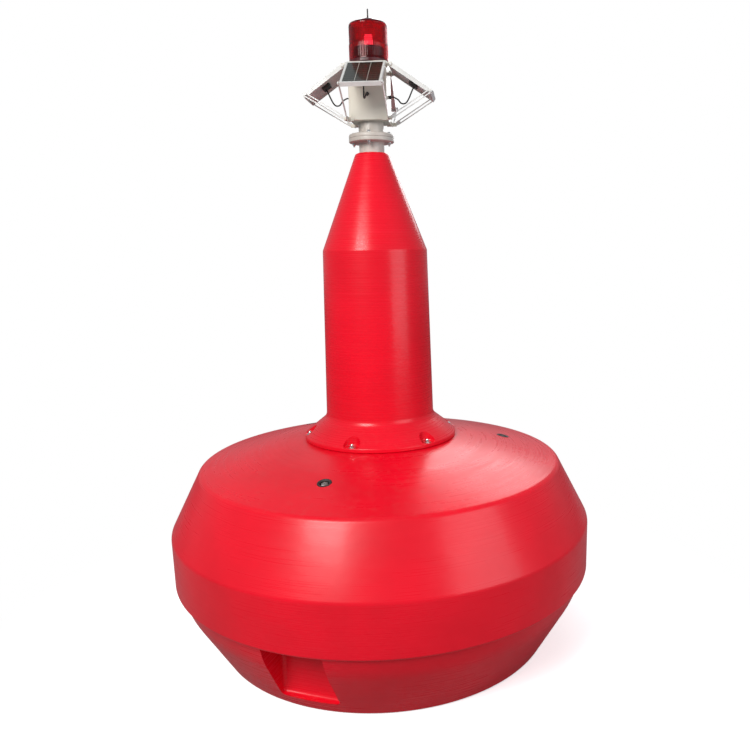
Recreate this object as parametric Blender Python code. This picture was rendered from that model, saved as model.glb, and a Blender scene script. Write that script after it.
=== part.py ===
"""Navigation buoy: a moulded plastic float and tower that carry a solar lantern.

Metres, +Z up. The origin is the centre of the flat base that the buoy stands on.
Azimuths are in degrees round +Z: 0 faces -Y, 90 faces +X.
"""

import math

import bmesh
import bpy
from mathutils import Matrix, Vector

# ---- driving sizes -------------------------------------------------------------------

SEAT_GAP = 0.0003               # between pieces that touch

# float: a lower bowl under a belted upper shell
BASE_RADIUS = 0.6047
BASE_EDGE_FILLET = 0.012
BOWL_BREAK_RADIUS = 0.7162
BOWL_BREAK_HEIGHT = 0.1985
BOWL_TOP_RADIUS = 0.7370
BELT_RADIUS = 0.7500
BELT_BOTTOM = 0.2625
BELT_TOP = 0.4370
BELT_LIP_FILLET = 0.009
BELT_TOP_FILLET = 0.030
SHOULDER_RADIUS = 0.6440
SHOULDER_HEIGHT = 0.6418
SHOULDER_FILLET = 0.022
DECK_CREASE_RADIUS = 0.4200
DECK_CREASE_HEIGHT = 0.6975
DECK_CREASE_FILLET = 0.060
TOWER_SEAT_HEIGHT = 0.7275

# three of everything round the float, and six bolt recesses, share one azimuth
FEATURE_AZIMUTH = -14.5
POCKET_COUNT = 3
POCKET_WALL_DISTANCE = 0.6064
POCKET_WIDTH = 0.1990
POCKET_FLOOR = 0.0462
POCKET_CORNER_FILLET = 0.008

# mooring recess under the base
RECESS_RADIUS = 0.1300
RECESS_DEPTH = 0.1100
EYE_PLATE_RADIUS = 0.0900
EYE_PLATE_THICKNESS = 0.0120
EYE_THICKNESS = 0.0200
EYE_WIDTH = 0.0900
EYE_HOLE_RADIUS = 0.0230
EYE_FLOOR_CLEARANCE = 0.0100

# three threaded sockets let into the deck
SOCKET_COUNT = 3
SOCKET_DISTANCE = 0.4670
SOCKET_RADIUS = 0.0230
SOCKET_DEPTH = 0.0120
SOCKET_PROUD = 0.0015
SOCKET_BORE_RADIUS = 0.0150
SOCKET_FIT = 0.0005
PLUG_CORNER_RADIUS = 0.0125
PLUG_HEIGHT = 0.0100

# tower: bolted skirt, tube and cone in one moulding
SKIRT_RADIUS = 0.2728
SKIRT_EDGE_HEIGHT = 0.0135
SKIRT_EDGE_FILLET = 0.0040
SKIRT_TOP_HEIGHT = 0.8046
SKIRT_BLEND_FILLET = 0.0280
TUBE_BOTTOM_RADIUS = 0.1932
TUBE_TOP_RADIUS = 0.1812
TUBE_TOP_HEIGHT = 1.3870
TUBE_TOP_FILLET = 0.0080
CONE_TOP_RADIUS = 0.0560
CONE_TOP_HEIGHT = 1.7095
CONE_TOP_FILLET = 0.0100
BOLT_RECESS_COUNT = 6
BOLT_RECESS_RADIUS = 0.0290
BOLT_RECESS_DISTANCE = 0.2600

# post and neck: two short flanged pipes bolted flange to flange
PIPE_RADIUS = 0.0425
PIPE_SEAT_DEPTH = 0.0500
PIPE_FIT = 0.0005
FLANGE_RADIUS = 0.0762
FLANGE_THICKNESS = 0.0130
FLANGE_FILLET = 0.0050
FLANGE_JOINT_HEIGHT = 1.7570
BOX_BOTTOM = 1.8080

# lantern box, with the ears that carry the panels and their struts
BOX_WIDTH = 0.1260
BOX_TOP = 1.9900
BOX_EDGE_BEVEL = 0.0020
EAR_THICKNESS = 0.0020
EAR_HEIGHT = 0.0120
EAR_ROOT = 0.0160
EAR_NOSE = 0.0050

# lantern
LENS_BASE_RADIUS = 0.0665
LENS_BASE_HEIGHT = 0.0100
LENS_RADIUS = 0.0655
LENS_UPPER_RADIUS = 0.0642
LENS_STEP_HEIGHT = 0.0520
LENS_SHOULDER_HEIGHT = 0.1140
LENS_CROWN_HEIGHT = 0.1370
LENS_CROWN_RADIUS = 0.0100
LENS_WALL = 0.0030
LENS_SHOULDER_FILLET = 0.0080
LAMP_HOUSING_RADIUS = 0.0520
LAMP_HOUSING_HEIGHT = 0.0420
LIGHT_RADIUS = 0.0130
LIGHT_HEIGHT = 0.0340
SPIKE_BASE_RADIUS = 0.0060
SPIKE_ROD_RADIUS = 0.0022
SPIKE_HEIGHT = 0.0260

# solar panels: hinged to the box at the top edge, propped by slotted struts
PANEL_SIDES = (
    # name, azimuth
    ("front", 0.0),
    ("right", 90.0),
    ("back", 180.0),
    ("left", -90.0),
)
PANEL_WIDTH = 0.1290
PANEL_THICKNESS = 0.0130
PANEL_INNER_MARGIN = 0.0030
PANEL_OUTER_MARGIN = 0.0085
PANEL_RIM = 0.0065
PANEL_SKIN = 0.0030
GLASS_DEPTH = 0.0025
GLASS_FIT = 0.0004
BACK_DEPTH = 0.0060
HINGE_RADIUS = 0.0780
HINGE_HEIGHT = 1.9770
PROP_RADIUS = 0.2056
PROP_HEIGHT = 1.8910
STRUT_PIVOT_HEIGHT = 1.8120
PIN_RADIUS = 0.0018
PIN_FIT = 0.0003
PIN_HEAD_RADIUS = 0.0042
PIN_HEAD_HEIGHT = 0.0024
STRUT_WIDTH = 0.0130
STRUT_THICKNESS = 0.0020
STRUT_NOSE_RADIUS = 0.0045
STRUT_END_MARGIN = 0.0075
SLOT_WIDTH = 0.0062
SLOT_START = 0.0200
SLOT_END_PLAY = 0.0010
JUNCTION_LENGTH = 0.0300
JUNCTION_WIDTH = 0.0400
JUNCTION_HEIGHT = 0.0090
JUNCTION_DISTANCE = 0.0700

# a lead from each panel's junction box back to the lantern box
CABLE_RADIUS = 0.0024
CABLE_POINT_COUNT = 19
CABLE_END_GAP = 0.0005
GLAND_RADIUS = 0.0060
GLAND_LENGTH = 0.0080
GLAND_HEIGHT = 1.8880
CABLE_ROUTE = (
    # distance from the axis, height, sideways
    (0.1290, 1.8800, 0.002),
    (0.1180, 1.8670, 0.004),
    (0.1040, 1.8680, 0.003),
    (0.0940, 1.8800, 0.001),
)

# facets
FLOAT_STEPS = 60
TOWER_STEPS = 48
PIPE_STEPS = 30
SOCKET_STEPS = 20
PIN_STEPS = 10
FILLET_STEPS = 3

# ---- what follows from them ----------------------------------------------------------

SEAM_HEIGHT = BELT_BOTTOM
UPPER_BOTTOM = SEAM_HEIGHT + SEAT_GAP
TOWER_BOTTOM = TOWER_SEAT_HEIGHT + SEAT_GAP
SKIRT_EDGE_TOP = TOWER_BOTTOM + SKIRT_EDGE_HEIGHT
NECK_BOTTOM = FLANGE_JOINT_HEIGHT + SEAT_GAP
LENS_BASE_BOTTOM = BOX_TOP + SEAT_GAP
LENS_BASE_TOP = LENS_BASE_BOTTOM + LENS_BASE_HEIGHT
LENS_BOTTOM = LENS_BASE_TOP + SEAT_GAP
LENS_TOP = LENS_BOTTOM + LENS_CROWN_HEIGHT
EAR_INNER = PANEL_WIDTH / 2 + 0.0005
EAR_OUTER = EAR_INNER + EAR_THICKNESS
STRUT_INNER = EAR_OUTER + SEAT_GAP
STRUT_OUTER = STRUT_INNER + STRUT_THICKNESS
STRUT_PIVOT_RADIUS = STRUT_OUTER + STRUT_NOSE_RADIUS + 0.0010
PANEL_TILT = math.atan2(HINGE_HEIGHT - PROP_HEIGHT, PROP_RADIUS - HINGE_RADIUS)
PANEL_REACH = math.hypot(HINGE_HEIGHT - PROP_HEIGHT, PROP_RADIUS - HINGE_RADIUS)
STRUT_RISE = math.atan2(PROP_HEIGHT - STRUT_PIVOT_HEIGHT, PROP_RADIUS - STRUT_PIVOT_RADIUS)
STRUT_REACH = math.hypot(PROP_HEIGHT - STRUT_PIVOT_HEIGHT, PROP_RADIUS - STRUT_PIVOT_RADIUS)


# ---- making shapes -------------------------------------------------------------------

def outward(azimuth):
    """Level unit vector that leaves the axis at an azimuth in degrees."""
    a = math.radians(azimuth)
    return Vector((math.sin(a), -math.cos(a), 0.0))


def filleted(corners):
    """Outline points of (r, z, fillet radius) corners, each fillet turned into an arc."""
    points = []
    count = len(corners)
    for i, (r, z, fillet) in enumerate(corners):
        here = Vector((r, z))
        if fillet <= 0.0 or i in (0, count - 1):
            points.append(here)
            continue
        before = (Vector(corners[i - 1][:2]) - here).normalized()
        after = (Vector(corners[i + 1][:2]) - here).normalized()
        half = before.angle(after) / 2
        reach = fillet / math.tan(half)
        centre = here + (before + after).normalized() * fillet / math.sin(half)
        start = here + before * reach - centre
        sweep = start.angle_signed(here + after * reach - centre)
        for step in range(FILLET_STEPS + 1):
            turned = start.copy()
            turned.rotate(Matrix.Rotation(-sweep * step / FILLET_STEPS, 2))
            points.append(centre + turned)
    return [(p.x, p.y) for p in points]


def new_object(name, mesh, material, smooth_angle=30.0):
    """A named object round a mesh, shaded smooth with sharp edges kept."""
    made = bpy.data.objects.new(name, mesh)
    bpy.context.scene.collection.objects.link(made)
    if material is not None:
        mesh.materials.append(material)
    mesh.shade_smooth()
    mesh.set_sharp_from_angle(angle=math.radians(smooth_angle))
    return made


def mesh_of(work, name):
    """The finished mesh of a bmesh, with its faces pointing out."""
    bmesh.ops.recalc_face_normals(work, faces=work.faces)
    mesh = bpy.data.meshes.new(name)
    work.to_mesh(mesh)
    work.free()
    return mesh


def turned_mesh(name, profile, steps):
    """Profile points (r, z) turned round Z; both ends lie on the axis."""
    work = bmesh.new()
    rings = []
    for r, z in profile:
        if r < 1e-6:
            rings.append([work.verts.new((0.0, 0.0, z))])
            continue
        angles = [2 * math.pi * i / steps for i in range(steps)]
        rings.append([work.verts.new((r * math.cos(a), r * math.sin(a), z)) for a in angles])
    for lower, upper in zip(rings[:-1], rings[1:]):
        for i in range(steps):
            j = (i + 1) % steps
            corners = [lower[i % len(lower)], lower[j % len(lower)],
                       upper[j % len(upper)], upper[i % len(upper)]]
            work.faces.new(list(dict.fromkeys(corners)))
    return mesh_of(work, name)


def box_mesh(name, low, high, bevel=0.0, segments=2):
    """A box between two corners, with its edges bevelled if asked."""
    work = bmesh.new()
    bmesh.ops.create_cube(work, size=1.0)
    low = Vector(low)
    high = Vector(high)
    middle = (low + high) / 2
    size = high - low
    for vertex in work.verts:
        vertex.co = middle + Vector(c * s for c, s in zip(vertex.co, size))
    if bevel > 0.0:
        bmesh.ops.bevel(work, geom=work.edges[:], offset=bevel, segments=segments,
                        profile=0.5, affect="EDGES")
    return mesh_of(work, name)


def prism_mesh(name, outline, low, high):
    """A (y, z) outline extruded along X from low to high."""
    work = bmesh.new()
    face = work.faces.new([work.verts.new((low, y, z)) for y, z in outline])
    made = bmesh.ops.extrude_face_region(work, geom=[face])
    moved = [item for item in made["geom"] if isinstance(item, bmesh.types.BMVert)]
    bmesh.ops.translate(work, verts=moved, vec=(high - low, 0.0, 0.0))
    return mesh_of(work, name)


def arc(centre_y, centre_z, radius, start, end, steps):
    """Points on a (y, z) arc between two angles in degrees."""
    angles = [math.radians(start + (end - start) * i / steps) for i in range(steps + 1)]
    return [(centre_y + radius * math.cos(a), centre_z + radius * math.sin(a)) for a in angles]


def rod_mesh(name, radius, low, high, steps=PIN_STEPS, centre=(0.0, 0.0)):
    """A round bar along X, centred on a (y, z) point."""
    outline = arc(centre[0], centre[1], radius, 0.0, 360.0, steps)[:-1]
    return prism_mesh(name, outline, low, high)


def boolean(target, tool, operation):
    """Cuts or joins a tool, which is left as a hidden wire guide."""
    tool.hide_render = True
    tool.display_type = "WIRE"
    modifier = target.modifiers.new(tool.name, "BOOLEAN")
    modifier.operation = operation
    modifier.object = tool
    modifier.solver = "EXACT"


def colour(name, rgb, roughness, metallic=0.0):
    """A plain material of one colour."""
    made = bpy.data.materials.new(name)
    made.use_nodes = True
    shader = made.node_tree.nodes["Principled BSDF"]
    shader.inputs["Base Color"].default_value = (*rgb, 1.0)
    shader.inputs["Roughness"].default_value = roughness
    shader.inputs["Metallic"].default_value = metallic
    return made


def start_empty():
    """Removes what the scene holds."""
    for item in list(bpy.data.objects):
        bpy.data.objects.remove(item, do_unlink=True)


# ---- float ---------------------------------------------------------------------------

def build_float(red):
    """The bowl with its handling pockets, and the belted upper shell on top of it."""
    bowl = new_object("float_lower", turned_mesh("float_lower", filleted((
        (0.0, RECESS_DEPTH, 0.0),
        (RECESS_RADIUS, RECESS_DEPTH, 0.010),
        (RECESS_RADIUS, 0.0, 0.006),
        (BASE_RADIUS, 0.0, BASE_EDGE_FILLET),
        (BOWL_BREAK_RADIUS, BOWL_BREAK_HEIGHT, 0.30),
        (BOWL_TOP_RADIUS, SEAM_HEIGHT, 0.0),
        (0.0, SEAM_HEIGHT, 0.0),
    )), FLOAT_STEPS), red)
    for k in range(POCKET_COUNT):
        azimuth = FEATURE_AZIMUTH + k * 360 / POCKET_COUNT
        cutter = new_object("pocket_cutter_%d" % (k + 1), box_mesh(
            "pocket_cutter",
            (-POCKET_WIDTH / 2, POCKET_WALL_DISTANCE, POCKET_FLOOR),
            (POCKET_WIDTH / 2, BELT_RADIUS + 0.1, SEAM_HEIGHT + 0.1),
            POCKET_CORNER_FILLET), None)
        cutter.rotation_euler.z = math.radians(180 + azimuth)
        boolean(bowl, cutter, "DIFFERENCE")

    shell = new_object("float_upper", turned_mesh("float_upper", filleted((
        (0.0, UPPER_BOTTOM, 0.0),
        (BELT_RADIUS, UPPER_BOTTOM, BELT_LIP_FILLET),
        (BELT_RADIUS, BELT_TOP, BELT_TOP_FILLET),
        (SHOULDER_RADIUS, SHOULDER_HEIGHT, SHOULDER_FILLET),
        (DECK_CREASE_RADIUS, DECK_CREASE_HEIGHT, DECK_CREASE_FILLET),
        (SKIRT_RADIUS - 0.008, TOWER_SEAT_HEIGHT, 0.0),
        (0.0, TOWER_SEAT_HEIGHT, 0.0),
    )), FLOAT_STEPS), red)
    return shell


def build_deck_sockets(shell, black, steel):
    """Black threaded rings let into the deck, square to its slope, each with a hex plug."""
    rise = SHOULDER_HEIGHT - DECK_CREASE_HEIGHT
    run = SHOULDER_RADIUS - DECK_CREASE_RADIUS
    slope = math.atan2(-rise, run)
    deck_height = DECK_CREASE_HEIGHT + rise * (SOCKET_DISTANCE - DECK_CREASE_RADIUS) / run
    hole_radius = SOCKET_RADIUS + SOCKET_FIT
    for k in range(SOCKET_COUNT):
        azimuth = FEATURE_AZIMUTH + k * 360 / SOCKET_COUNT
        seat = outward(azimuth) * SOCKET_DISTANCE + Vector((0.0, 0.0, deck_height))
        turn = (-slope, 0.0, math.radians(180 + azimuth))

        hole = new_object("socket_cutter_%d" % (k + 1), turned_mesh("socket_cutter", (
            (0.0, -SOCKET_DEPTH),
            (hole_radius, -SOCKET_DEPTH),
            (hole_radius, SOCKET_DEPTH),
            (0.0, SOCKET_DEPTH),
        ), SOCKET_STEPS), None)
        ring = new_object("deck_socket_%d" % (k + 1), ring_mesh("deck_socket", (
            (SOCKET_BORE_RADIUS, SEAT_GAP - SOCKET_DEPTH),
            (SOCKET_RADIUS, SEAT_GAP - SOCKET_DEPTH),
            (SOCKET_RADIUS, 0.0),
            (SOCKET_RADIUS - SOCKET_PROUD, SOCKET_PROUD),
            (SOCKET_BORE_RADIUS + SOCKET_PROUD, SOCKET_PROUD),
            (SOCKET_BORE_RADIUS, 0.0),
        ), SOCKET_STEPS), black)
        plug = new_object("socket_plug_%d" % (k + 1), turned_mesh("socket_plug", (
            (0.0, SEAT_GAP - SOCKET_DEPTH),
            (PLUG_CORNER_RADIUS, SEAT_GAP - SOCKET_DEPTH),
            (PLUG_CORNER_RADIUS, PLUG_HEIGHT - 0.001 - SOCKET_DEPTH),
            (PLUG_CORNER_RADIUS - 0.0015, PLUG_HEIGHT - SOCKET_DEPTH),
            (0.0, PLUG_HEIGHT - SOCKET_DEPTH),
        ), 6), steel)
        for piece in (hole, ring, plug):
            piece.location = seat
            piece.rotation_euler = turn
        boolean(shell, hole, "DIFFERENCE")


def ring_mesh(name, outline, steps):
    """A closed (r, z) outline, clear of the axis, turned round Z."""
    work = bmesh.new()
    rings = []
    for r, z in outline:
        angles = [2 * math.pi * i / steps for i in range(steps)]
        rings.append([work.verts.new((r * math.cos(a), r * math.sin(a), z)) for a in angles])
    for lower, upper in zip(rings, rings[1:] + rings[:1]):
        for i in range(steps):
            j = (i + 1) % steps
            work.faces.new((lower[i], lower[j], upper[j], upper[i]))
    return mesh_of(work, name)


def build_mooring_eye(steel):
    """A round plate on the roof of the base recess, with a drilled lug under it."""
    top = RECESS_DEPTH - SEAT_GAP
    plate_bottom = top - EYE_PLATE_THICKNESS
    plate = new_object("mooring_eye", turned_mesh("mooring_eye", (
        (0.0, plate_bottom),
        (EYE_PLATE_RADIUS, plate_bottom),
        (EYE_PLATE_RADIUS, top),
        (0.0, top),
    ), PIPE_STEPS), steel)
    nose = EYE_WIDTH / 2
    centre = EYE_FLOOR_CLEARANCE + nose
    outline = arc(0.0, centre, nose, 180.0, 360.0, 12)
    outline += [(nose, plate_bottom + 0.004), (-nose, plate_bottom + 0.004)]
    lug = new_object("mooring_lug", prism_mesh(
        "mooring_lug", outline, -EYE_THICKNESS / 2, EYE_THICKNESS / 2), steel)
    hole = new_object("mooring_hole", rod_mesh(
        "mooring_hole", EYE_HOLE_RADIUS, -EYE_THICKNESS, EYE_THICKNESS, 24, (0.0, centre)), None)
    boolean(plate, lug, "UNION")
    boolean(plate, hole, "DIFFERENCE")


# ---- tower and post ------------------------------------------------------------------

def build_tower(red):
    """Bolted skirt, tapered tube and cone, with a blind hole in the top for the post."""
    hole_radius = PIPE_RADIUS + PIPE_FIT
    tower = new_object("tower", turned_mesh("tower", filleted((
        (0.0, TOWER_BOTTOM, 0.0),
        (SKIRT_RADIUS, TOWER_BOTTOM, SKIRT_EDGE_FILLET),
        (SKIRT_RADIUS, SKIRT_EDGE_TOP, SKIRT_EDGE_FILLET),
        (TUBE_BOTTOM_RADIUS, SKIRT_TOP_HEIGHT, SKIRT_BLEND_FILLET),
        (TUBE_TOP_RADIUS, TUBE_TOP_HEIGHT, TUBE_TOP_FILLET),
        (CONE_TOP_RADIUS, CONE_TOP_HEIGHT, CONE_TOP_FILLET),
        (hole_radius, CONE_TOP_HEIGHT, 0.0),
        (hole_radius, CONE_TOP_HEIGHT - PIPE_SEAT_DEPTH, 0.0),
        (0.0, CONE_TOP_HEIGHT - PIPE_SEAT_DEPTH, 0.0),
    )), TOWER_STEPS), red)
    for k in range(BOLT_RECESS_COUNT):
        azimuth = FEATURE_AZIMUTH + k * 360 / BOLT_RECESS_COUNT
        cutter = new_object("bolt_recess_cutter_%d" % (k + 1), turned_mesh("bolt_recess", (
            (0.0, SKIRT_EDGE_TOP),
            (BOLT_RECESS_RADIUS, SKIRT_EDGE_TOP),
            (BOLT_RECESS_RADIUS, SKIRT_TOP_HEIGHT),
            (0.0, SKIRT_TOP_HEIGHT),
        ), SOCKET_STEPS), None)
        cutter.location = outward(azimuth) * BOLT_RECESS_DISTANCE
        boolean(tower, cutter, "DIFFERENCE")


def build_post_and_neck(ivory):
    """The post stands in the cone; the neck hangs from the box; their flanges meet."""
    post_bottom = CONE_TOP_HEIGHT - PIPE_SEAT_DEPTH + SEAT_GAP
    flange_bottom = FLANGE_JOINT_HEIGHT - FLANGE_THICKNESS
    new_object("post", turned_mesh("post", filleted((
        (0.0, post_bottom, 0.0),
        (PIPE_RADIUS, post_bottom, 0.0),
        (PIPE_RADIUS, flange_bottom, 0.004),
        (FLANGE_RADIUS, flange_bottom, 0.002),
        (FLANGE_RADIUS, FLANGE_JOINT_HEIGHT, 0.0),
        (0.0, FLANGE_JOINT_HEIGHT, 0.0),
    )), PIPE_STEPS), ivory)
    flange_top = NECK_BOTTOM + FLANGE_THICKNESS
    new_object("lantern_neck", turned_mesh("lantern_neck", filleted((
        (0.0, NECK_BOTTOM, 0.0),
        (FLANGE_RADIUS, NECK_BOTTOM, 0.0),
        (FLANGE_RADIUS, flange_top, FLANGE_FILLET),
        (PIPE_RADIUS, flange_top, 0.004),
        (PIPE_RADIUS, BOX_BOTTOM - SEAT_GAP, 0.0),
        (0.0, BOX_BOTTOM - SEAT_GAP, 0.0),
    )), PIPE_STEPS), ivory)


# ---- lantern -------------------------------------------------------------------------

def ear_meshes(name, height, pivot_radius, pin):
    """One ear in the plane beside a panel, with its root pad and either a pin or a hole."""
    low = height - EAR_HEIGHT / 2
    high = height + EAR_HEIGHT / 2
    tip = pivot_radius + EAR_NOSE
    root = BOX_WIDTH / 2 - EAR_ROOT
    pieces = [box_mesh(name, (EAR_INNER, root, low), (EAR_OUTER, tip, high))]
    pieces.append(box_mesh(name, (BOX_WIDTH / 2 - 0.002, root, low),
                           (EAR_INNER + EAR_THICKNESS / 2, BOX_WIDTH / 2, high)))
    if pin:
        shank_end = STRUT_OUTER + SEAT_GAP + PIN_HEAD_HEIGHT / 2
        head = STRUT_OUTER + SEAT_GAP
        centre = (pivot_radius, height)
        pieces.append(rod_mesh(name, PIN_RADIUS, EAR_OUTER - EAR_THICKNESS / 2, shank_end,
                               centre=centre))
        pieces.append(rod_mesh(name, PIN_HEAD_RADIUS, head, head + PIN_HEAD_HEIGHT,
                               centre=centre))
    return pieces


def build_box(ivory):
    """The sheet-metal box, with drilled ears at its top edge and pinned ears at its foot."""
    half = BOX_WIDTH / 2
    box = new_object("battery_box", box_mesh(
        "battery_box", (-half, -half, BOX_BOTTOM), (half, half, BOX_TOP), BOX_EDGE_BEVEL, 1),
        ivory, 20.0)
    for side, azimuth in PANEL_SIDES:
        for hand in (-1, 1):
            turn = math.radians(180 + azimuth)
            tag = "%s_%s" % (side, "a" if hand < 0 else "b")
            upper = ear_meshes("hinge_ear", HINGE_HEIGHT, HINGE_RADIUS, False)
            lower = ear_meshes("strut_ear", STRUT_PIVOT_HEIGHT, STRUT_PIVOT_RADIUS, True)
            for i, mesh in enumerate(upper + lower):
                mesh.transform(Matrix.Diagonal((hand, 1, 1, 1)))
                if hand < 0:
                    mesh.flip_normals()
                ear = new_object("ear_%s_%d" % (tag, i + 1), mesh, None)
                ear.rotation_euler.z = turn
                boolean(box, ear, "UNION")
            bore = new_object("hinge_bore_" + tag, rod_mesh(
                "hinge_bore", PIN_RADIUS + PIN_FIT, EAR_INNER - 0.002, EAR_OUTER + 0.002,
                centre=(HINGE_RADIUS, HINGE_HEIGHT)), None)
            if hand < 0:
                bore.data.transform(Matrix.Diagonal((-1, 1, 1, 1)))
                bore.data.flip_normals()
            bore.rotation_euler.z = turn
            boolean(box, bore, "DIFFERENCE")


def build_lantern(red_lens, dark, clear, black):
    """Base ring, hollow lens, lamp housing, light column and the spike on the crown."""
    new_object("lens_base", turned_mesh("lens_base", filleted((
        (0.0, LENS_BASE_BOTTOM, 0.0),
        (LENS_BASE_RADIUS, LENS_BASE_BOTTOM, 0.001),
        (LENS_BASE_RADIUS, LENS_BASE_TOP, 0.001),
        (0.0, LENS_BASE_TOP, 0.0),
    )), PIPE_STEPS), dark)

    inner = LENS_UPPER_RADIUS - LENS_WALL
    new_object("lens", turned_mesh("lens", filleted((
        (0.0, LENS_TOP - LENS_WALL, 0.0),
        (inner, LENS_BOTTOM + LENS_SHOULDER_HEIGHT - LENS_WALL, 0.005),
        (inner, LENS_BOTTOM, 0.0),
        (LENS_RADIUS, LENS_BOTTOM, 0.0),
        (LENS_RADIUS, LENS_BOTTOM + LENS_STEP_HEIGHT, 0.0),
        (LENS_UPPER_RADIUS, LENS_BOTTOM + LENS_STEP_HEIGHT + 0.003, 0.0),
        (LENS_UPPER_RADIUS, LENS_BOTTOM + LENS_SHOULDER_HEIGHT, LENS_SHOULDER_FILLET),
        (LENS_CROWN_RADIUS, LENS_TOP, 0.002),
        (0.0, LENS_TOP, 0.0),
    )), PIPE_STEPS), red_lens)

    housing_top = LENS_BOTTOM + LAMP_HOUSING_HEIGHT
    new_object("lamp_housing", turned_mesh("lamp_housing", filleted((
        (0.0, LENS_BOTTOM, 0.0),
        (LAMP_HOUSING_RADIUS, LENS_BOTTOM, 0.0),
        (LAMP_HOUSING_RADIUS, housing_top, 0.004),
        (0.0, housing_top, 0.0),
    )), PIPE_STEPS), dark)

    light_bottom = housing_top + SEAT_GAP
    new_object("light_source", turned_mesh("light_source", filleted((
        (0.0, light_bottom, 0.0),
        (LIGHT_RADIUS, light_bottom, 0.0),
        (LIGHT_RADIUS, light_bottom + LIGHT_HEIGHT, 0.004),
        (0.0, light_bottom + LIGHT_HEIGHT, 0.0),
    )), 20), clear)

    spike_bottom = LENS_TOP + SEAT_GAP
    new_object("bird_spike", turned_mesh("bird_spike", (
        (0.0, spike_bottom),
        (SPIKE_BASE_RADIUS, spike_bottom),
        (SPIKE_ROD_RADIUS, spike_bottom + 0.005),
        (SPIKE_ROD_RADIUS, spike_bottom + SPIKE_HEIGHT - 0.001),
        (SPIKE_ROD_RADIUS / 2, spike_bottom + SPIKE_HEIGHT),
        (0.0, spike_bottom + SPIKE_HEIGHT),
    ), PIN_STEPS), black)


# ---- solar panels --------------------------------------------------------------------

def pivot(name, azimuth, distance, height, rise):
    """An empty on a pivot line: its X is that line, its Y leads out along the piece."""
    empty = bpy.data.objects.new(name, None)
    bpy.context.scene.collection.objects.link(empty)
    empty.location = outward(azimuth) * distance + Vector((0.0, 0.0, height))
    empty.rotation_euler = (rise, 0.0, math.radians(180 + azimuth))
    return empty


def build_panel(side, azimuth, white, glass, black):
    """A framed panel with a pin at each corner, its glass and its junction box."""
    hinge = pivot("panel_hinge_" + side, azimuth, HINGE_RADIUS, HINGE_HEIGHT, -PANEL_TILT)
    half = PANEL_WIDTH / 2
    top = PANEL_THICKNESS / 2
    start = -PANEL_INNER_MARGIN
    end = PANEL_REACH + PANEL_OUTER_MARGIN
    frame = new_object("panel_frame_" + side, box_mesh(
        "panel_frame", (-half, start, -top), (half, end, top)), white)
    frame.parent = hinge

    pane_low = (-half + PANEL_RIM, start + PANEL_RIM, top - GLASS_DEPTH)
    pane_high = (half - PANEL_RIM, end - PANEL_RIM, top)
    pan_low = (-half + PANEL_SKIN, start + PANEL_SKIN, -top)
    pan_high = (half - PANEL_SKIN, end - PANEL_SKIN, BACK_DEPTH - top)
    beyond = Vector((0.0, 0.0, 0.002))
    seat = new_object("pane_cutter_" + side, box_mesh(
        "pane_cutter", pane_low, Vector(pane_high) + beyond), None)
    pan = new_object("pan_cutter_" + side, box_mesh(
        "pan_cutter", Vector(pan_low) - beyond, pan_high), None)
    for cutter in (seat, pan):
        cutter.parent = hinge
        boolean(frame, cutter, "DIFFERENCE")

    pins = (
        # distance along the panel, inner face of the pin's head
        (0.0, EAR_OUTER + SEAT_GAP),
        (PANEL_REACH, STRUT_OUTER + SEAT_GAP),
    )
    for number, (reach, head) in enumerate(pins):
        for hand in (-1, 1):
            shank = rod_mesh("panel_pin", PIN_RADIUS, half - 0.002, head + PIN_HEAD_HEIGHT / 2,
                             centre=(reach, 0.0))
            cap = rod_mesh("panel_pin_head", PIN_HEAD_RADIUS, head, head + PIN_HEAD_HEIGHT,
                           centre=(reach, 0.0))
            for part, mesh in (("pin", shank), ("head", cap)):
                if hand < 0:
                    mesh.transform(Matrix.Diagonal((-1, 1, 1, 1)))
                    mesh.flip_normals()
                tag = "%s_%s_%d_%s" % (part, side, number + 1, "a" if hand < 0 else "b")
                piece = new_object(tag, mesh, None)
                piece.parent = hinge
                boolean(frame, piece, "UNION")

    fit = Vector((GLASS_FIT, GLASS_FIT, 0.0))
    pane = new_object("panel_glass_" + side, box_mesh(
        "panel_glass",
        Vector(pane_low) + fit + Vector((0.0, 0.0, SEAT_GAP)),
        Vector(pane_high) - fit - Vector((0.0, 0.0, 0.0005))), glass)
    pane.parent = hinge

    back = BACK_DEPTH - top - SEAT_GAP
    junction = new_object("junction_box_" + side, box_mesh(
        "junction_box",
        (-JUNCTION_WIDTH / 2, JUNCTION_DISTANCE, back - JUNCTION_HEIGHT),
        (JUNCTION_WIDTH / 2, JUNCTION_DISTANCE + JUNCTION_LENGTH, back), 0.0015, 1), black)
    junction.parent = hinge


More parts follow.
